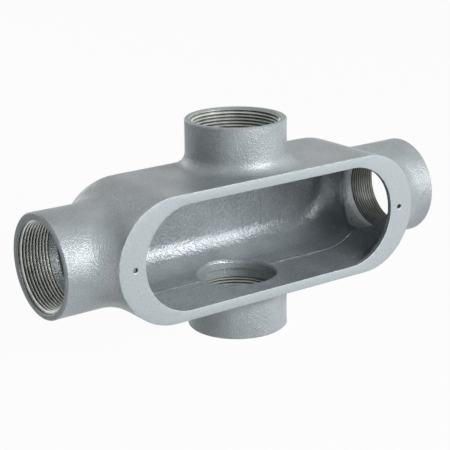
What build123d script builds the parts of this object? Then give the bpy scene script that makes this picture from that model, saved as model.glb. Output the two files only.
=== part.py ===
from build123d import *
from math import atan, degrees
import os

# Cross-shaped conduit body for two inch threaded pipe, cast in one piece.
# +X runs along the long side, the cover opening faces -Y and +Z is up.
# The origin is the centre of the bottom hub's mouth, on which the part stands.
# The two end hubs share one axis and the two upright hubs another. Both axes lie
# in the plane Y = 0, where the mould and its core were parted.

# Bores, from the mouth inwards: pipe thread, plain relief, smooth throat
thread_radius = 30.05
thread_depth = 1.77
thread_length = 22.5
relief_length = 7.0
throat_step = 2.2
throat_chamfer = 1.5
mouth_chamfer = 0.6

# Hubs
hub_wall = 3.65
hub_projection = 30.2
hub_mouth_edge = 0.8
end_hub_blend = 22.0
upright_hub_blend = 8.0

# Shell, with the flat face that the cover closes
rim_length = 238.0
rim_height = 82.2
face_to_axis = 43.0
axis_to_back = 43.0
back_edge_round = 22.0

# Opening in the face and the two cover screw holes beside it
rim_band = 6.7
rim_end_land = 19.0
lip_thickness = 3.0
screw_edge_distance = 11.3
screw_hole_radius = 2.05

# Cavity, which widens a little from the opening to the back
side_wall = 5.2
end_wall = 3.4
back_wall = 4.4
cavity_back_round = 19.0

# Sizes that follow from the values above
hub_radius = thread_radius + hub_wall
relief_radius = thread_radius - thread_depth
throat_radius = relief_radius - throat_step
overall_length = rim_length + 2 * hub_projection
overall_height = rim_height + 2 * hub_projection
opening_length = rim_length - 2 * rim_end_land
opening_height = rim_height - 2 * rim_band
cavity_front = lip_thickness - face_to_axis
cavity_back = axis_to_back - back_wall
cavity_spread = rim_band - side_wall
cavity_draft = degrees(atan(cavity_spread / -cavity_front))
cavity_length = rim_length - 2 * end_wall - 2 * cavity_spread
screw_x = rim_length / 2 - screw_edge_distance

upwards = (Align.CENTER, Align.CENTER, Align.MIN)


def stadium(length, height, y):
    """Outline with straight long sides and round ends, square to Y at this depth."""
    return Plane.XZ.offset(-y) * SlotOverall(length, height)


def flat_edges(solid, y):
    """Edges of a solid that lie at this depth."""
    return solid.edges().filter_by_position(Axis.Y, y - 0.01, y + 0.01)


def hub_pair(length):
    """Two opposite hubs along Z as one solid cylinder, with broken outer edges."""
    solid = Cylinder(hub_radius, length)
    return chamfer(solid.edges().filter_by(GeomType.CIRCLE), hub_mouth_edge)


def bore(mouth):
    """Inside of one hub, as a solid that runs from the centre to a mouth up the Z axis."""
    thread_end = mouth - thread_length
    relief_end = thread_end - relief_length
    throat = Cylinder(throat_radius, relief_end, align=upwards)
    relief = Cylinder(relief_radius, relief_length, align=upwards)
    thread = Cylinder(thread_radius, thread_length, align=upwards)
    entry = Cone(thread_radius, thread_radius + mouth_chamfer, mouth_chamfer, align=upwards)
    solid = throat + Pos(0, 0, relief_end) * relief
    solid += Pos(0, 0, thread_end) * thread
    solid += Pos(0, 0, mouth - mouth_chamfer) * entry
    return solid


# Shell: a deep stadium whose back edge is well rounded
face = stadium(rim_length, rim_height, -face_to_axis)
shell = extrude(face, amount=-(face_to_axis + axis_to_back))
shell = fillet(flat_edges(shell, axis_to_back), back_edge_round)

# Hubs, each with a blend where it leaves the shell
end_hubs = Rot(0, 90, 0) * hub_pair(overall_length)
with_ends = shell + end_hubs
end_roots = new_edges(shell, end_hubs, combined=with_ends)
with_ends = fillet(end_roots, end_hub_blend)

upright_hubs = hub_pair(overall_height)
outside = with_ends + upright_hubs
upright_roots = new_edges(with_ends, upright_hubs, combined=outside)
outside = fillet(upright_roots, upright_hub_blend)

# Cavity: it starts behind the lip as high as the opening, and the wall and end wall
# have their named thickness where the hub axes lie
start = stadium(cavity_length, opening_height, cavity_front)
cavity = extrude(start, amount=cavity_front - cavity_back, taper=-cavity_draft)
cavity = fillet(flat_edges(cavity, cavity_back), cavity_back_round)

# Bores of the four hubs, with a broken edge where each throat opens into the cavity
bores = bore(overall_height / 2) + Rot(180, 0, 0) * bore(overall_height / 2)
for turn in (90, -90):
    bores += Rot(0, turn, 0) * bore(overall_length / 2)
inside = cavity + bores
throat_edges = new_edges(cavity, bores, combined=inside)
inside = chamfer(throat_edges, throat_chamfer)

# Opening through the lip of the face
opening = extrude(
    stadium(opening_length, opening_height, -face_to_axis), amount=-lip_thickness
)
casting = outside - inside - opening

# Cover screw holes through the lip, one at each end
face_plane = Plane.XZ.offset(face_to_axis)
for side in (-1, 1):
    spot = face_plane * Pos(side * screw_x, 0)
    casting -= extrude(spot * Circle(screw_hole_radius), amount=-lip_thickness)

# The part stands on its bottom hub
casting = Pos(0, 0, overall_height / 2) * casting

os.makedirs("parts", exist_ok=True)
export_step(casting, "parts/conduit_body.step")
print("solids", len(casting.solids()), "volume", round(casting.volume), "mm3")
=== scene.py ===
"""Look of a cross-shaped cast iron conduit body on a plain white sweep.

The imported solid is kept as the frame. A finer copy of it carries the sand-cast skin, the
ground cover rim and the worn edges, and the cut threads are pieces of their own.
Lengths in the constants and classes are millimetres, and meshes are in metres.
"""

import logging
import math
from collections.abc import Callable
from dataclasses import dataclass, field
from enum import Enum

import bmesh
import bpy
from mathutils import Matrix, Vector, noise

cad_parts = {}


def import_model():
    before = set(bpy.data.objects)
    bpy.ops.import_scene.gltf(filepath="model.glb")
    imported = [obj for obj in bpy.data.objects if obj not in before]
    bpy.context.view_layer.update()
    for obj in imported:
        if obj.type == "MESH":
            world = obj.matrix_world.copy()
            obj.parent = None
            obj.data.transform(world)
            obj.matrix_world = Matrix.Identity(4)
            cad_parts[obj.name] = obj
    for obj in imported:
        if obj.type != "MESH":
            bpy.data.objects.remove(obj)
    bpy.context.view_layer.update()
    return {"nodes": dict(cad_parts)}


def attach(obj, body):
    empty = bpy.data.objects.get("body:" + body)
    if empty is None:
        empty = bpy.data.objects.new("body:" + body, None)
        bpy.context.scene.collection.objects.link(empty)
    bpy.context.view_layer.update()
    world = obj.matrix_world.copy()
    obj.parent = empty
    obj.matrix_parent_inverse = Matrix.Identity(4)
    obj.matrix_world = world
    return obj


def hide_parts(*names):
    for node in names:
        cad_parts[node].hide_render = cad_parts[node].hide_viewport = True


LOG = logging.getLogger("conduit_body")
MM = 0.001
NODE = "conduit_body"
BODY = "root"
THREAD_HEIGHT = "thread_height"

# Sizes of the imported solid, from the point where the hub axes cross
HUB_REACH = 149.2
UPRIGHT_REACH = 71.3
FACE_DEPTH = -43.0
SCREW_X = 107.7
CENTRE_HEIGHT = 71.3

# How near a cut may pass a vertex before it uses that vertex
CUT_TOLERANCE = 0.001

Colour = tuple[float, float, float, float]
WHITE: Colour = (1.0, 1.0, 1.0, 1.0)


class Region(Enum):
    """Kinds of surface on the casting, in the order of its material slots."""

    CAST_SKIN = 0
    GROUND_FACE = 1
    RIM_EDGE = 2
    CAVITY_SKIN = 3


class Hub(Enum):
    """The four hubs, each by the direction in which its mouth points."""

    LEFT = (-1.0, 0.0, 0.0)
    RIGHT = (1.0, 0.0, 0.0)
    TOP = (0.0, 0.0, 1.0)
    BOTTOM = (0.0, 0.0, -1.0)


def linear(hex_colour: str) -> Colour:
    """Turn an sRGB hex colour into the linear values that a shader takes.

    Args:
        hex_colour: Colour as written, such as "#8f979a".

    Returns:
        Linear red, green and blue with an alpha of 1.
    """
    parts = [int(hex_colour[i : i + 2], 16) / 255.0 for i in (1, 3, 5)]
    low = [c / 12.92 if c <= 0.04045 else ((c + 0.055) / 1.055) ** 2.4 for c in parts]
    return (low[0], low[1], low[2], 1.0)


def per_metre(size_mm: float) -> float:
    """Texture scale on metre coordinates that gives features of this size."""
    return 1.0 / (size_mm * MM)


def set_stops(ramp: bpy.types.ColorRamp, stops: list[tuple[float, str]]) -> None:
    """Give a colour ramp its stops.

    Args:
        ramp: The ramp, with the two stops that a new one has.
        stops: Positions with their sRGB hex colours, from the lowest up.
    """
    while len(ramp.elements) < len(stops):
        ramp.elements.new(0.5)
    for element, (position, hex_colour) in zip(ramp.elements, stops):
        element.position = position
        element.color = linear(hex_colour)


def add_node(
    tree: bpy.types.NodeTree,
    kind: str,
    settings: dict[str | int, object] | None = None,
    links: dict[str | int, bpy.types.NodeSocket] | None = None,
) -> bpy.types.Node:
    """Add a shader node with its settings and its incoming links.

    Args:
        tree: Node tree that gets the node.
        kind: Blender's type name of the node.
        settings: Values by the name of a property, by the name or number of an input
            socket, or "stops" for the stops of a colour ramp.
        links: Output sockets of other nodes by the name or number of this node's input.

    Returns:
        The new node.
    """
    node = tree.nodes.new(kind)
    for name, value in (settings or {}).items():
        if name == "stops":
            set_stops(node.color_ramp, value)
        elif isinstance(name, int) or name in node.inputs:
            node.inputs[name].default_value = value
        else:
            setattr(node, name, value)
    for name, output in (links or {}).items():
        tree.links.new(output, node.inputs[name])
    return node


def new_material(name: str) -> tuple[bpy.types.Material, bpy.types.NodeTree]:
    """Make an empty node material.

    Args:
        name: The material's name.

    Returns:
        The material and its node tree, with no nodes in it.
    """
    material = bpy.data.materials.new(name)
    material.use_nodes = True
    material.node_tree.nodes.clear()
    return material, material.node_tree


def finish_shader(
    tree: bpy.types.NodeTree,
    settings: dict[str | int, object],
    links: dict[str | int, bpy.types.NodeSocket],
) -> None:
    """Close a material with one Principled shader.

    Args:
        tree: The material's node tree.
        settings: Constant values of the shader's own sockets.
        links: Patterns that drive the shader's sockets.
    """
    shader = add_node(tree, "ShaderNodeBsdfPrincipled", settings, links)
    add_node(tree, "ShaderNodeOutputMaterial", links={"Surface": shader.outputs["BSDF"]})


@dataclass(frozen=True)
class AluminiumPaint:
    """Thin grey aluminium paint over sand-cast iron.

    The leafing flakes give a soft metallic sheen, and the sand grain under the paint breaks
    each highlight into bright specks. Foundry sand has grains of about 0.3 mm, too fine to
    show here, so the grain is drawn at 0.85 mm.
    """

    name: str = "aluminium_painted_cast_iron"
    shade: str = "#8c9396"
    light: str = "#a1a8ab"
    metallic: float = 0.27
    roughness: float = 0.33
    roughness_spread: tuple[float, float] = (-0.07, 0.09)
    ior: float = 1.45
    sand_grain: float = 0.85
    lumps: float = 4.0
    mottle: float = 26.0
    grain_in_colour: float = 0.2
    colour_stops: tuple[float, float] = (0.36, 0.66)
    grain_range: tuple[float, float] = (0.35, 0.65)
    grain_height: float = 0.35
    lump_height: float = 0.24

    def build(self) -> bpy.types.Material:
        """Make the material.

        Returns:
            The new material.
        """
        material, tree = new_material(self.name)
        place = add_node(tree, "ShaderNodeTexCoord").outputs["Object"]
        grain = add_node(
            tree,
            "ShaderNodeTexNoise",
            {"Scale": per_metre(self.sand_grain), "Detail": 1.5, "Roughness": 0.5},
            {"Vector": place},
        ).outputs["Fac"]
        lumps = add_node(
            tree,
            "ShaderNodeTexNoise",
            {"Scale": per_metre(self.lumps), "Detail": 2.0, "Roughness": 0.5},
            {"Vector": place},
        ).outputs["Fac"]
        mottle = add_node(
            tree,
            "ShaderNodeTexNoise",
            {"Scale": per_metre(self.mottle), "Detail": 3.0, "Roughness": 0.55},
            {"Vector": place},
        ).outputs["Fac"]
        spread = add_node(
            tree,
            "ShaderNodeMix",
            {"data_type": "FLOAT", "Factor": self.grain_in_colour},
            {"A": mottle, "B": grain},
        ).outputs["Result"]
        colour = add_node(
            tree,
            "ShaderNodeValToRGB",
            {"stops": list(zip(self.colour_stops, (self.shade, self.light)))},
            {"Fac": spread},
        ).outputs["Color"]
        rough = add_node(
            tree,
            "ShaderNodeMapRange",
            {
                "From Min": self.grain_range[0],
                "From Max": self.grain_range[1],
                "To Min": self.roughness + self.roughness_spread[0],
                "To Max": self.roughness + self.roughness_spread[1],
            },
            {"Value": grain},
        ).outputs["Result"]
        low = add_node(
            tree,
            "ShaderNodeBump",
            {"Strength": 1.0, "Distance": self.lump_height * MM},
            {"Height": lumps},
        ).outputs["Normal"]
        fine = add_node(
            tree,
            "ShaderNodeBump",
            {"Strength": 1.0, "Distance": self.grain_height * MM},
            {"Height": grain, "Normal": low},
        ).outputs["Normal"]
        finish_shader(
            tree,
            {"Metallic": self.metallic, "IOR": self.ior},
            {"Base Color": colour, "Roughness": rough, "Normal": fine},
        )
        return material


@dataclass(frozen=True)
class PaintedRim:
    """The same paint on the ground cover face and on the turned mouths of the hubs.

    Grinding took the sand grain away, so the rim is flat, matt and paler, with only fine
    specks.
    """

    name: str = "aluminium_painted_ground_rim"
    pit: str = "#7d8588"
    shade: str = "#939b9e"
    light: str = "#a1a9ac"
    metallic: float = 0.25
    roughness: float = 0.52
    speck: float = 1.1
    colour_stops: tuple[float, float, float] = (0.27, 0.32, 0.6)
    speck_height: float = 0.025

    def build(self) -> bpy.types.Material:
        """Make the material.

        Returns:
            The new material.
        """
        material, tree = new_material(self.name)
        place = add_node(tree, "ShaderNodeTexCoord").outputs["Object"]
        speck = add_node(
            tree,
            "ShaderNodeTexNoise",
            {"Scale": per_metre(self.speck), "Detail": 2.0, "Roughness": 0.6},
            {"Vector": place},
        ).outputs["Fac"]
        colour = add_node(
            tree,
            "ShaderNodeValToRGB",
            {"stops": list(zip(self.colour_stops, (self.pit, self.shade, self.light)))},
            {"Fac": speck},
        ).outputs["Color"]
        bump = add_node(
            tree,
            "ShaderNodeBump",
            {"Strength": 1.0, "Distance": self.speck_height * MM},
            {"Height": speck},
        ).outputs["Normal"]
        finish_shader(
            tree,
            {"Metallic": self.metallic, "Roughness": self.roughness},
            {"Base Color": colour, "Normal": bump},
        )
        return material


@dataclass(frozen=True)
class ChippedEdge:
    """Paint worn through along the rim's edges.

    Bright bare specks alternate with paint, which gives the edge its ragged pale line.
    """

    name: str = "chipped_rim_edge"
    paint: str = "#979fa2"
    bare: str = "#b7bcbe"
    metallic: float = 0.15
    roughness: float = 0.5
    chip: float = 1.8
    colour_stops: tuple[float, float] = (0.46, 0.6)

    def build(self) -> bpy.types.Material:
        """Make the material.

        Returns:
            The new material.
        """
        material, tree = new_material(self.name)
        place = add_node(tree, "ShaderNodeTexCoord").outputs["Object"]
        chip = add_node(
            tree,
            "ShaderNodeTexNoise",
            {"Scale": per_metre(self.chip), "Detail": 2.0, "Roughness": 0.7},
            {"Vector": place},
        ).outputs["Fac"]
        colour = add_node(
            tree,
            "ShaderNodeValToRGB",
            {"stops": list(zip(self.colour_stops, (self.paint, self.bare)))},
            {"Fac": chip},
        ).outputs["Color"]
        finish_shader(
            tree,
            {"Metallic": self.metallic, "Roughness": self.roughness},
            {"Base Color": colour},
        )
        return material


@dataclass(frozen=True)
class TurnedIron:
    """Bare grey iron, cut by a tap.

    Cut cast iron is a warm dull metal. The crests are rubbed bright and carry a painted
    highlight, and the roots are darkened by oil, iron dust and painted shade. How high a
    point lies on the thread is the mesh's own attribute, from 0 in the root to 1 on the crest.
    """

    name: str = "turned_grey_iron"
    # The root colour is partly painted shade, and the crest colour partly a painted highlight
    root: str = "#6b6d6a"
    flank: str = "#b3b5b1"
    crest: str = "#ebede9"
    metallic: float = 0.75
    roughness: float = 0.45
    colour_stops: tuple[float, float, float] = (0.08, 0.5, 0.92)
    stain: float = 7.0
    stain_range: tuple[float, float] = (0.3, 0.7)
    stain_reach: float = 0.14
    streak: float = 0.5
    streak_height: float = 0.003

    def build(self) -> bpy.types.Material:
        """Make the material.

        Returns:
            The new material.
        """
        material, tree = new_material(self.name)
        place = add_node(tree, "ShaderNodeTexCoord").outputs["Object"]
        stain = add_node(
            tree,
            "ShaderNodeTexNoise",
            {"Scale": per_metre(self.stain), "Detail": 4.0, "Roughness": 0.6},
            {"Vector": place},
        ).outputs["Fac"]
        streak = add_node(
            tree,
            "ShaderNodeTexNoise",
            {"Scale": per_metre(self.streak), "Detail": 1.0, "Roughness": 0.5},
            {"Vector": place},
        ).outputs["Fac"]
        height = add_node(
            tree, "ShaderNodeAttribute", {"attribute_name": THREAD_HEIGHT}
        ).outputs["Fac"]
        uneven = add_node(
            tree,
            "ShaderNodeMapRange",
            {
                "From Min": self.stain_range[0],
                "From Max": self.stain_range[1],
                "To Min": -self.stain_reach,
                "To Max": self.stain_reach,
            },
            {"Value": stain},
        ).outputs["Result"]
        wear_shade_and_highlight = add_node(
            tree,
            "ShaderNodeMath",
            {"operation": "ADD", "use_clamp": True},
            {0: height, 1: uneven},
        ).outputs[0]
        # Colour by height: painted shade in the roots and a painted highlight on the crests,
        # with uneven stains
        colour = add_node(
            tree,
            "ShaderNodeValToRGB",
            {"stops": list(zip(self.colour_stops, (self.root, self.flank, self.crest)))},
            {"Fac": wear_shade_and_highlight},
        ).outputs["Color"]
        bump = add_node(
            tree,
            "ShaderNodeBump",
            {"Strength": 1.0, "Distance": self.streak_height * MM},
            {"Height": streak},
        ).outputs["Normal"]
        finish_shader(
            tree,
            {"Metallic": self.metallic, "Roughness": self.roughness},
            {"Base Color": colour, "Normal": bump},
        )
        return material


# The same paint stood thicker in the cavity, so it is smoother and glossier there
POOLED_PAINT = AluminiumPaint(
    name="aluminium_paint_pooled_in_cavity",
    shade="#8b9296",
    light="#a0a7ab",
    metallic=0.26,
    roughness=0.2,
    lumps=2.6,
    grain_height=0.2,
    lump_height=0.3,
)

# Darker copy of the turned iron for the right hub, as painted shade.
# The copy below, for the screw holes, is darker still, as painted deeper shade.
RIGHT_HUB_SHADE_IRON = TurnedIron(
    name="turned_grey_iron_painted_shade",
    root="#2d2e2d",
    flank="#6d6f6c",
    crest="#abada9",
    roughness=0.38,
)
# Still darker copy for the screw holes, as painted deep shade
DEEP_SHADE_IRON = TurnedIron(
    name="turned_grey_iron_painted_deep_shade",
    root="#141514",
    flank="#2b2c2b",
    crest="#6d6f6c",
    roughness=0.3,
)


def new_piece(
    name: str, bm: bmesh.types.BMesh, finishes: list[bpy.types.Material]
) -> bpy.types.Object:
    """Turn a bmesh into a piece that rides on the part.

    Args:
        name: The piece's name.
        bm: Its mesh in metres, freed here.
        finishes: Materials in the order of the mesh's slots.

    Returns:
        The new object, at the origin.
    """
    mesh = bpy.data.meshes.new(name)
    bm.to_mesh(mesh)
    bm.free()
    piece = bpy.data.objects.new(name, mesh)
    bpy.context.scene.collection.objects.link(piece)
    for finish in finishes:
        mesh.materials.append(finish)
    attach(piece, BODY)
    return piece


def smooth_by_angle(bm: bmesh.types.BMesh, degrees: float) -> None:
    """Shade a mesh smooth, with sharp edges above an angle.

    Args:
        bm: The mesh.
        degrees: Angle between faces from which an edge stays sharp.
    """
    limit = math.radians(degrees)
    for face in bm.faces:
        face.smooth = True
    for edge in bm.edges:
        edge.smooth = edge.is_manifold and edge.calc_face_angle(0.0) < limit


@dataclass
class Casting:
    """The one-piece casting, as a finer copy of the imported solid."""

    # Where the solid's walls and edges are, with room for its facets
    inner_back: float = 38.6
    inner_back_room: float = 0.6
    cavity_half_height: float = 38.0
    cavity_half_length: float = 116.2
    throat_ring: tuple[float, float] = (25.88, 28.08)
    end_throat: tuple[float, float] = (90.0, 118.5)
    upright_throat: tuple[float, float] = (30.0, 40.5)
    screw_hole_clear: float = 3.0
    screw_edge_clear: float = 4.0
    on_plane: float = 0.002
    near_plane: float = 0.02
    square_on: float = 0.98
    edge_share: float = 0.98

    # Preparing the copy
    weld: float = 0.005
    flat_degrees: float = 0.3
    crease_degrees: float = 40.0

    # Worn edges
    rim_round: float = 0.45
    throat_round: float = 0.75
    round_segments: int = 3
    crisp_angle: float = 0.4

    # Uneven skin
    cell: float = 4.8
    cell_margin: float = 0.5
    soft_angle: float = 0.35
    open_edge_angle: float = 3.0
    smooth_passes: int = 5
    smooth_share: float = 0.5
    wave: float = 0.24
    wave_length: float = 17.0

    # Seams of the core
    seam_width: float = 0.64
    seam_height: float = 0.46
    seam_wave_length: float = 6.0
    seam_mean: float = 0.75
    seam_spread: float = 0.5
    seam_reach: float = 5.0
    wall_band: tuple[float, float] = (30.0, 37.0)
    round_end: tuple[float, float] = (84.0, 116.0)
    round_end_low: float = 26.5
    end_weight: float = 0.3
    seam_from_bore: float = 30.0
    back_seam_x: float = 50.0
    back_seam_half: float = 20.0
    back_square_on: float = 0.9

    def build(
        self, node: bpy.types.Object, finishes: list[bpy.types.Material]
    ) -> bpy.types.Object:
        """Build the dressed casting.

        Args:
            node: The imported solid's object.
            finishes: Materials in the order of Region.

        Returns:
            The piece that replaces the solid in the picture.
        """
        bm = bmesh.new()
        bm.from_mesh(node.data)
        bmesh.ops.remove_doubles(bm, verts=bm.verts, dist=self.weld * MM)
        flat = math.radians(self.flat_degrees)
        bmesh.ops.dissolve_limit(bm, angle_limit=flat, verts=bm.verts, edges=bm.edges)
        self.round_edges(bm, self.on_rim, self.rim_round)
        self.round_edges(bm, self.on_throat, self.throat_round)
        self.cut_grid(bm)
        self.soften(bm)
        self.raise_seam(bm, Vector((0, 0, 0)), Vector((0, 1, 0)), self.on_core_seam)
        back_seam = Vector((self.back_seam_x, 0, 0))
        self.raise_seam(bm, back_seam, Vector((1, 0, 0)), self.on_back_seam)
        self.triangulate(bm)
        self.dress(bm)
        smooth_by_angle(bm, self.crease_degrees)
        return new_piece("casting", bm, finishes)

    def triangulate(self, bm: bmesh.types.BMesh) -> None:
        """Turn all the faces into well-shaped triangles."""
        bmesh.ops.triangulate(bm, faces=bm.faces, quad_method="BEAUTY", ngon_method="BEAUTY")

    def local(self, point: Vector) -> Vector:
        """Millimetres from the point where the hub axes cross."""
        return Vector((point.x / MM, point.y / MM, point.z / MM - CENTRE_HEIGHT))

    def from_screw(self, spot: Vector) -> float:
        """Distance from the axis of the nearer cover screw hole."""
        return math.hypot(abs(spot.x) - SCREW_X, spot.z)

    def on_rim(self, edge: bmesh.types.BMEdge) -> bool:
        """Tell whether an edge bounds the cover rim.

        Args:
            edge: Edge of the solid.

        Returns:
            True along the rim's outline and its opening, but not round a screw hole.
        """
        ends = [self.local(v.co) for v in edge.verts]
        if any(abs(end.y - FACE_DEPTH) > self.on_plane for end in ends):
            return False
        return self.from_screw((ends[0] + ends[1]) / 2) > self.screw_edge_clear

    def on_throat(self, edge: bmesh.types.BMEdge) -> bool:
        """Tell whether an edge bounds the broken edge where a throat meets the cavity.

        Args:
            edge: Edge of the solid.

        Returns:
            True at the inner end of each of the four throats.
        """
        ring_low, ring_high = self.throat_ring
        end_low, end_high = self.end_throat
        upright_low, upright_high = self.upright_throat
        ends = [self.local(v.co) for v in edge.verts]
        at_end = all(
            ring_low < math.hypot(p.y, p.z) < ring_high and end_low < abs(p.x) < end_high
            for p in ends
        )
        at_upright = all(
            ring_low < math.hypot(p.x, p.y) < ring_high
            and upright_low < abs(p.z) < upright_high
            for p in ends
        )
        return at_end or at_upright

    def round_edges(
        self, bm: bmesh.types.BMesh, wanted: Callable[[bmesh.types.BMEdge], bool], size: float
    ) -> None:
        """Round crisp edges of the solid.

        Args:
            bm: The casting's mesh.
            wanted: Says whether an edge is one of them.
            size: Offset of the round, in millimetres.
        """
        crisp = [e for e in bm.edges if e.is_manifold and e.calc_face_angle() > self.crisp_angle]
        bmesh.ops.bevel(
            bm,
            geom=[edge for edge in crisp if wanted(edge)],
            offset=size * MM,
            offset_type="OFFSET",
            affect="EDGES",
            segments=self.round_segments,
            profile=0.5,
            material=-1,
            clamp_overlap=True,
        )

    def cut_grid(self, bm: bmesh.types.BMesh) -> None:
        """Cut the skin by a grid of planes until it can carry small waves.

        Args:
            bm: The casting's mesh.
        """
        reach = (HUB_REACH, -FACE_DEPTH, UPRIGHT_REACH)
        middle = Vector((0.0, 0.0, CENTRE_HEIGHT * MM))
        for axis, half in enumerate(reach):
            normal = Vector([float(axis == i) for i in range(3)])
            count = math.floor((half - self.cell_margin) / self.cell)
            for step in range(-count, count + 1):
                bmesh.ops.bisect_plane(
                    bm,
                    geom=[*bm.verts, *bm.edges, *bm.faces],
                    dist=CUT_TOLERANCE * MM,
                    plane_co=middle + normal * step * self.cell * MM,
                    plane_no=normal,
                )
        self.triangulate(bm)

    def is_soft(self, vert: bmesh.types.BMVert) -> bool:
        """Tell whether a vertex lies in the sand-cast skin, away from crisp edges.

        Args:
            vert: Vertex of the casting.

        Returns:
            True where the skin may be smoothed and waved.
        """
        return all(
            edge.is_manifold and edge.calc_face_angle(self.open_edge_angle) < self.soft_angle
            for edge in vert.link_edges
        ) and self.region_at(vert.co, vert.normal) in (Region.CAST_SKIN, Region.CAVITY_SKIN)

    def soften(self, bm: bmesh.types.BMesh) -> None:
        """Melt the facets of the curved skin and give it the gentle waves of a sand mould.

        The waves only go inwards, so the casting stays inside the solid's box.

        Args:
            bm: The casting's mesh.
        """
        skin = [vert for vert in bm.verts if self.is_soft(vert)]
        for _ in range(self.smooth_passes):
            bmesh.ops.smooth_vert(
                bm,
                verts=skin,
                factor=self.smooth_share,
                use_axis_x=True,
                use_axis_y=True,
                use_axis_z=True,
            )
        bm.normal_update()
        for vert in skin:
            spot = vert.co / (self.wave_length * MM)
            vert.co += vert.normal * (noise.noise(spot) - 1.0) / 2 * self.wave * MM

    def on_core_seam(self, face: bmesh.types.BMFace) -> bool:
        """Tell whether a face of the cavity is near the line where the core's halves met.

        Args:
            face: Face of the casting.

        Returns:
            True on the long walls and the round ends, but not inside a throat.
        """
        spot = self.local(face.calc_center_median())
        facing = spot.x * face.normal.x * self.end_weight + spot.z * face.normal.z
        wall_low, wall_high = self.wall_band
        round_start, round_stop = self.round_end
        on_wall = wall_low < abs(spot.z) < wall_high and abs(spot.x) < round_start
        on_round = (
            round_start <= abs(spot.x) < round_stop and abs(spot.z) > self.round_end_low
        )
        clear = math.hypot(spot.x, spot.y) > self.seam_from_bore
        near = abs(spot.y) < self.seam_reach
        return facing < 0 and clear and near and (on_wall or on_round)

    def on_back_seam(self, face: bmesh.types.BMFace) -> bool:
        """Tell whether a face of the cavity's back wall is near the seam of its core box.

        Args:
            face: Face of the casting.

        Returns:
            True on a short upright stretch of the back wall.
        """
        spot = self.local(face.calc_center_median())
        on_wall = abs(spot.y - self.inner_back) < self.inner_back_room
        near = abs(spot.x - self.back_seam_x) < self.seam_reach
        faces_out = face.normal.y < -self.back_square_on
        return on_wall and faces_out and near and abs(spot.z) < self.back_seam_half

    def raise_seam(
        self,
        bm: bmesh.types.BMesh,
        place: Vector,
        across: Vector,
        wanted: Callable[[bmesh.types.BMFace], bool],
    ) -> None:
        """Raise the thin ridge that the metal leaves where two halves of a core met.

        Args:
            bm: The casting's mesh.
            place: A point of the seam's plane, in millimetres.
            across: Direction square to that plane.
            wanted: Says whether a face may carry the ridge.
        """
        for offset in (-self.seam_width / 2, 0.0, self.seam_width / 2):
            faces = [face for face in bm.faces if wanted(face)]
            edges = {edge for face in faces for edge in face.edges}
            verts = {vert for face in faces for vert in face.verts}
            bmesh.ops.bisect_plane(
                bm,
                geom=[*faces, *edges, *verts],
                dist=CUT_TOLERANCE * MM,
                plane_co=(place + across * offset) * MM,
                plane_no=across,
            )
        bm.normal_update()
        crest = {
            vert
            for face in bm.faces
            if wanted(face)
            for vert in face.verts
            if abs((vert.co / MM - place).dot(across)) < self.near_plane
        }
        for vert in crest:
            spot = vert.co / (self.seam_wave_length * MM)
            uneven = self.seam_mean + self.seam_spread * noise.noise(spot)
            vert.co += vert.normal * self.seam_height * uneven * MM

    def region_at(self, point: Vector, normal: Vector) -> Region:
        """Find the kind of surface at a point of the casting.

        Args:
            point: Place in metres.
            normal: Direction in which the surface faces.

        Returns:
            The region that the point belongs to.
        """
        spot = self.local(point)
        if spot.y < FACE_DEPTH + self.near_plane and normal.y < -self.square_on:
            return Region.GROUND_FACE
        in_hole = self.from_screw(spot) < self.screw_hole_clear
        if spot.y < FACE_DEPTH + self.rim_round * self.edge_share and not in_hole:
            return Region.RIM_EDGE
        at_end_mouth = abs(spot.x) > HUB_REACH - self.near_plane
        at_upright_mouth = abs(spot.z) > UPRIGHT_REACH - self.near_plane
        if at_end_mouth or at_upright_mouth:
            return Region.GROUND_FACE
        if self.inside_cavity(spot):
            return Region.CAVITY_SKIN
        return Region.CAST_SKIN

    def inside_cavity(self, spot: Vector) -> bool:
        """Tell whether a point lies on the wall of the cavity, behind the opening's edge.

        Args:
            spot: Place in millimetres from the crossing of the hub axes.

        Returns:
            True inside the cavity's outline and depth.
        """
        straight_half = self.cavity_half_length - self.cavity_half_height
        past_straight = max(abs(spot.x) - straight_half, 0.0)
        in_outline = math.hypot(past_straight, spot.z) < self.cavity_half_height
        front, back = FACE_DEPTH + self.rim_round, self.inner_back + self.inner_back_room
        return in_outline and front < spot.y < back

    def dress(self, bm: bmesh.types.BMesh) -> None:
        """Give each face the material of its region."""
        for face in bm.faces:
            face.material_index = self.region_at(face.calc_center_median(), face.normal).value


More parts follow.
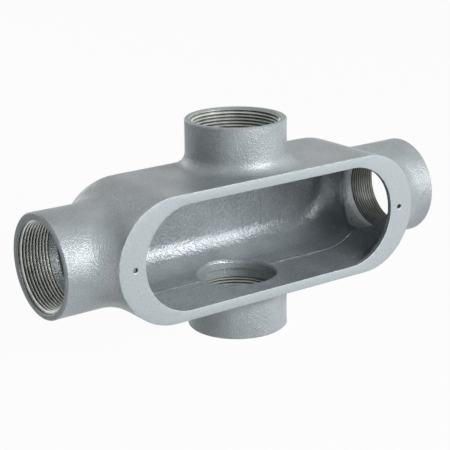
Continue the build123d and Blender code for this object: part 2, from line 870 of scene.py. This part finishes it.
@dataclass
class CutThread:
    """Two inch tapered pipe thread, 11.5 to the inch, as a sleeve inside a hub.

    The sleeve is built along +Z with the hole's mouth at the origin. Its inside is the
    thread, wound and tapered as a tap cuts it, and its outside is hidden in the iron.
    """

    name: str
    mouth: Vector
    direction: Vector
    root_radius: float = 30.05
    depth: float = 1.77
    pitch: float = 2.2087
    flank_degrees: float = 30.0
    first: float = 0.58
    last: float = 22.46
    mouth_radius: float = 31.25
    lead_in: float = 2.0
    taper: float = 1 / 32
    hidden: float = 0.35
    steps: int = 84
    spare_turns: int = 2
    weld: float = 0.002
    paint_room: tuple[float, float] = (0.05, 0.01)
    crease_degrees: float = 30.0

    def build(self, finishes: list[bpy.types.Material]) -> bpy.types.Object:
        """Build the thread.

        Args:
            finishes: The cut iron, and the finish of the lead-in.

        Returns:
            The thread as a piece of its own.
        """
        bm = bmesh.new()
        self.wind(bm)
        self.mark_height(bm)
        self.trim(bm)
        self.close(bm)
        bmesh.ops.recalc_face_normals(bm, faces=bm.faces)
        self.finish_lead_in(bm)
        smooth_by_angle(bm, self.crease_degrees)
        bmesh.ops.transform(bm, matrix=self.place(), verts=bm.verts)
        return new_piece(self.name, bm, finishes)

    def wind(self, bm: bmesh.types.BMesh) -> None:
        """Wind one pitch of the thread's section round the bore, and repeat it.

        Args:
            bm: Empty mesh that gets the thread, longer than it will be.
        """
        flat = (self.pitch - 2 * self.depth * math.tan(math.radians(self.flank_degrees))) / 2
        flank = self.pitch / 2 - flat
        start = -self.last - self.spare_turns * self.pitch
        section = [
            (self.root_radius, 0.0),
            (self.root_radius, flat),
            (self.root_radius - self.depth, flat + flank),
            (self.root_radius - self.depth, 2 * flat + flank),
            (self.root_radius, self.pitch),
        ]
        verts = [bm.verts.new((r * MM, 0.0, (start + h) * MM)) for r, h in section]
        edges = [bm.edges.new(pair) for pair in zip(verts, verts[1:])]
        bmesh.ops.spin(
            bm,
            geom=[*verts, *edges],
            cent=(0, 0, 0),
            axis=(0, 0, 1),
            dvec=(0, 0, self.pitch / self.steps * MM),
            angle=2 * math.pi,
            steps=self.steps,
        )
        turn = [*bm.verts, *bm.edges, *bm.faces]
        turns = math.ceil(self.last / self.pitch) + self.spare_turns + 1
        for number in range(1, turns):
            copied = bmesh.ops.duplicate(bm, geom=turn)["geom"]
            moved = [g for g in copied if isinstance(g, bmesh.types.BMVert)]
            bmesh.ops.translate(bm, verts=moved, vec=(0, 0, number * self.pitch * MM))
        bmesh.ops.remove_doubles(bm, verts=bm.verts, dist=self.weld * MM)

    def mark_height(self, bm: bmesh.types.BMesh) -> None:
        """Write how high each point lies on the thread, for the finish.

        Args:
            bm: The thread's mesh, before it is tapered.
        """
        layer = bm.verts.layers.float.new(THREAD_HEIGHT)
        for vert in bm.verts:
            radius = math.hypot(vert.co.x, vert.co.y) / MM
            vert[layer] = (self.root_radius - radius) / self.depth

    def trim(self, bm: bmesh.types.BMesh) -> None:
        """Cut the thread to length, taper it and turn its lead-in at the mouth.

        Args:
            bm: The thread's mesh.
        """
        for height, inner, outer in ((-self.last, True, False), (-self.first, False, True)):
            bmesh.ops.bisect_plane(
                bm,
                geom=[*bm.verts, *bm.edges, *bm.faces],
                plane_co=(0, 0, height * MM),
                plane_no=(0, 0, 1),
                clear_inner=inner,
                clear_outer=outer,
            )
        for vert in bm.verts:
            deep = -vert.co.z / MM
            radius = math.hypot(vert.co.x, vert.co.y) / MM
            cone = self.mouth_radius - deep * self.lead_in
            wanted = max(radius - deep * self.taper, cone)
            vert.co.x *= wanted / radius
            vert.co.y *= wanted / radius

    def close(self, bm: bmesh.types.BMesh) -> None:
        """Close the thread's surface with the sleeve's ends and its hidden outside.

        Args:
            bm: The thread's mesh, open at both ends.
        """
        outside = (self.root_radius + self.hidden) * MM
        near = CUT_TOLERANCE * MM
        for height in (-self.last, -self.first):
            rim = [
                edge
                for edge in bm.edges
                if edge.is_boundary
                and all(abs(vert.co.z - height * MM) < near for vert in edge.verts)
            ]
            made = bmesh.ops.extrude_edge_only(bm, edges=rim)["geom"]
            for vert in (g for g in made if isinstance(g, bmesh.types.BMVert)):
                radius = math.hypot(vert.co.x, vert.co.y)
                vert.co.x *= outside / radius
                vert.co.y *= outside / radius
        bmesh.ops.remove_doubles(bm, verts=bm.verts, dist=near)
        bmesh.ops.bridge_loops(bm, edges=[edge for edge in bm.edges if edge.is_boundary])

    def finish_lead_in(self, bm: bmesh.types.BMesh) -> None:
        """Give the turned lead-in and the sleeve's end at the mouth the second finish.

        Args:
            bm: The thread's mesh.
        """
        cone_room, end_room = self.paint_room
        for face in bm.faces:
            middle = face.calc_center_median() / MM
            cone = self.mouth_radius + middle.z * self.lead_in
            on_cone = math.hypot(middle.x, middle.y) < cone + cone_room
            face.material_index = int(on_cone or middle.z > -self.first - end_room)

    def place(self) -> Matrix:
        """Transform from the thread's own axis, mouth at the origin, to its hole."""
        turn = Vector((0, 0, 1)).rotation_difference(self.direction).to_matrix().to_4x4()
        return Matrix.Translation(self.mouth * MM) @ turn


@dataclass
class ScrewThread(CutThread):
    """Number 10 thread of a cover screw hole, 24 to the inch, with no taper."""

    root_radius: float = 2.0
    depth: float = 0.42
    pitch: float = 1.058
    first: float = 0.12
    last: float = 2.85
    mouth_radius: float = 2.12
    lead_in: float = 1.0
    taper: float = 0.0
    hidden: float = 0.15
    steps: int = 24


@dataclass(frozen=True)
class Threads:
    """The four pipe threads and the two cover screw threads."""

    bright: bpy.types.Material
    # Iron darkened by painted shade, for the right hub
    right_hub_shade_iron: bpy.types.Material
    # Iron darkened by painted deep shade, for the screw holes
    deep_shade_iron: bpy.types.Material
    paint: bpy.types.Material

    def build(self) -> list[bpy.types.Object]:
        """Build all the threads.

        The iron is darker in the right hub and darkest in the screw holes, which is
        painted shade. The hubs have painted lead-ins.

        Returns:
            The threads, each a piece of its own.
        """
        centre = Vector((0, 0, CENTRE_HEIGHT))
        made = []
        for hub in Hub:
            direction = Vector(hub.value)
            reach = HUB_REACH if direction.x else UPRIGHT_REACH
            name = f"pipe_thread_{hub.name.lower()}"
            thread = CutThread(name, centre + direction * reach, direction)
            # The right hub's thread takes the iron darkened by painted shade
            iron = self.right_hub_shade_iron if hub is Hub.RIGHT else self.bright
            made.append(thread.build([iron, self.paint]))
        for name, side in (("screw_thread_left", -1), ("screw_thread_right", 1)):
            mouth = centre + Vector((side * SCREW_X, FACE_DEPTH, 0))
            thread = ScrewThread(name, mouth, Vector((0, -1, 0)))
            # Screw threads take the iron darkened by painted deep shade, with bright iron on
            # their lead-ins
            made.append(thread.build([self.deep_shade_iron, self.bright]))
        return made


@dataclass(frozen=True)
class Softbox:
    """One soft lamp that points at the middle of the part."""

    name: str
    direction: Vector
    distance: float
    width: float
    height: float
    watts: float

    def hang(self) -> None:
        """Hang the lamp."""
        light = bpy.data.lights.new(self.name, "AREA")
        light.shape = "RECTANGLE"
        light.size = self.width * MM
        light.size_y = self.height * MM
        light.energy = self.watts
        lamp = bpy.data.objects.new(self.name, light)
        bpy.context.scene.collection.objects.link(lamp)
        aim = self.direction.normalized()
        lamp.location = Vector((0, 0, CENTRE_HEIGHT * MM)) + aim * self.distance * MM
        lamp.rotation_euler = aim.to_track_quat("Z", "Y").to_euler()


@dataclass
class Studio:
    """Plain white sweep, soft light and the camera."""

    # The photograph's camera, as fitted to outline points without a shifted lens
    camera_place: Vector = field(default_factory=lambda: Vector((-508.84, -684.22, 334.02)))
    camera_right: Vector = field(default_factory=lambda: Vector((0.80531, -0.59270, -0.01328)))
    camera_up: Vector = field(default_factory=lambda: Vector((0.18622, 0.23162, 0.95482)))
    lens: float = 106.798
    sensor_width: float = 36.0
    clip: tuple[float, float] = (0.05, 50.0)

    # The sweep, nearly white to the eye and pale grey in the light that it gives back
    floor_size: float = 8000.0
    floor_tint: str = "#c8cacb"
    floor_white: float = 0.96
    horizon_white: float = 0.975
    sky_tint: str = "#f7f9fb"
    sky: float = 0.05
    lamps: list[Softbox] = field(
        default_factory=lambda: [
            Softbox(
                name="key_light",
                direction=Vector((0.28, -0.90, 0.39)),
                distance=1700.0,
                width=1250.0,
                height=1250.0,
                watts=41.0,
            ),
            Softbox(
                name="back_light",
                direction=Vector((-0.15, 0.95, 0.30)),
                distance=1500.0,
                width=1200.0,
                height=600.0,
                watts=4.5,
            ),
        ]
    )

    def build(self) -> None:
        """Build the floor, the light and the camera."""
        self.make_floor()
        self.make_world()
        for lamp in self.lamps:
            lamp.hang()
        self.make_camera()

    def make_floor(self) -> None:
        """Lay the floor that the part stands on."""
        bm = bmesh.new()
        bmesh.ops.create_grid(bm, x_segments=1, y_segments=1, size=self.floor_size / 2 * MM)
        mesh = bpy.data.meshes.new("floor")
        bm.to_mesh(mesh)
        bm.free()
        floor = bpy.data.objects.new("floor", mesh)
        bpy.context.scene.collection.objects.link(floor)
        material, tree = new_material("white_sweep")
        seen = self.any_ray(tree)
        matt = add_node(tree, "ShaderNodeBsdfDiffuse", {"Color": linear(self.floor_tint)})
        glow = add_node(tree, "ShaderNodeEmission", {"Color": WHITE, "Strength": 1.0})
        weight = add_node(
            tree, "ShaderNodeMath", {"operation": "MULTIPLY", 1: self.floor_white}, {0: seen}
        )
        blend = add_node(
            tree,
            "ShaderNodeMixShader",
            links={"Fac": weight.outputs[0], 1: matt.outputs[0], 2: glow.outputs[0]},
        )
        add_node(tree, "ShaderNodeOutputMaterial", links={"Surface": blend.outputs[0]})
        mesh.materials.append(material)

    def any_ray(self, tree: bpy.types.NodeTree) -> bpy.types.NodeSocket:
        """Add up the kinds of rays that should see a white background.

        Args:
            tree: Node tree that gets the sum.

        Returns:
            An output of 1 for camera, glossy and transmission rays.
        """
        path = add_node(tree, "ShaderNodeLightPath")
        total = path.outputs["Is Camera Ray"]
        for name in ("Is Glossy Ray", "Is Transmission Ray"):
            total = add_node(
                tree,
                "ShaderNodeMath",
                {"operation": "ADD", "use_clamp": True},
                {0: total, 1: path.outputs[name]},
            ).outputs[0]
        return total

    def make_world(self) -> None:
        """Light the part evenly from a sky that looks white."""
        world = bpy.data.worlds.new("white_room")
        world.use_nodes = True
        tree = world.node_tree
        tree.nodes.clear()
        seen = self.any_ray(tree)
        fill = add_node(
            tree,
            "ShaderNodeBackground",
            {"Color": linear(self.sky_tint), "Strength": self.sky},
        )
        white = add_node(
            tree, "ShaderNodeBackground", {"Color": WHITE, "Strength": self.horizon_white}
        )
        blend = add_node(
            tree,
            "ShaderNodeMixShader",
            links={"Fac": seen, 1: fill.outputs[0], 2: white.outputs[0]},
        )
        add_node(tree, "ShaderNodeOutputWorld", links={"Surface": blend.outputs[0]})
        bpy.context.scene.world = world

    def make_camera(self) -> None:
        """Set up the camera of the photograph."""
        data = bpy.data.cameras.new("camera")
        data.lens = self.lens
        data.sensor_width = self.sensor_width
        data.clip_start, data.clip_end = self.clip
        camera = bpy.data.objects.new("camera", data)
        bpy.context.scene.collection.objects.link(camera)
        right = self.camera_right.normalized()
        back = right.cross(self.camera_up).normalized()
        up = back.cross(right)
        turn = Matrix((right, up, back)).transposed().to_4x4()
        camera.matrix_world = Matrix.Translation(self.camera_place * MM) @ turn
        bpy.context.scene.camera = camera


def main() -> None:
    """Build the pieces in order and report each of them."""
    logging.basicConfig(level=logging.INFO, format="%(name)s: %(message)s")
    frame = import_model()
    bpy.context.scene.view_settings.view_transform = "Standard"
    finishes = {
        Region.CAST_SKIN: AluminiumPaint().build(),
        Region.GROUND_FACE: PaintedRim().build(),
        Region.RIM_EDGE: ChippedEdge().build(),
        Region.CAVITY_SKIN: POOLED_PAINT.build(),
    }
    # Besides the bright iron, two darker copies of it carry painted shade
    threads = Threads(
        bright=TurnedIron().build(),
        right_hub_shade_iron=RIGHT_HUB_SHADE_IRON.build(),
        deep_shade_iron=DEEP_SHADE_IRON.build(),
        paint=finishes[Region.GROUND_FACE],
    )

    in_slot_order = [finishes[region] for region in Region]
    casting = Casting().build(frame["nodes"][NODE], in_slot_order)
    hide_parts(NODE)
    LOG.info("%s: %d faces", casting.name, len(casting.data.polygons))
    for thread in threads.build():
        LOG.info("%s: %d faces", thread.name, len(thread.data.polygons))
    Studio().build()


if __name__ == "__main__":
    main()
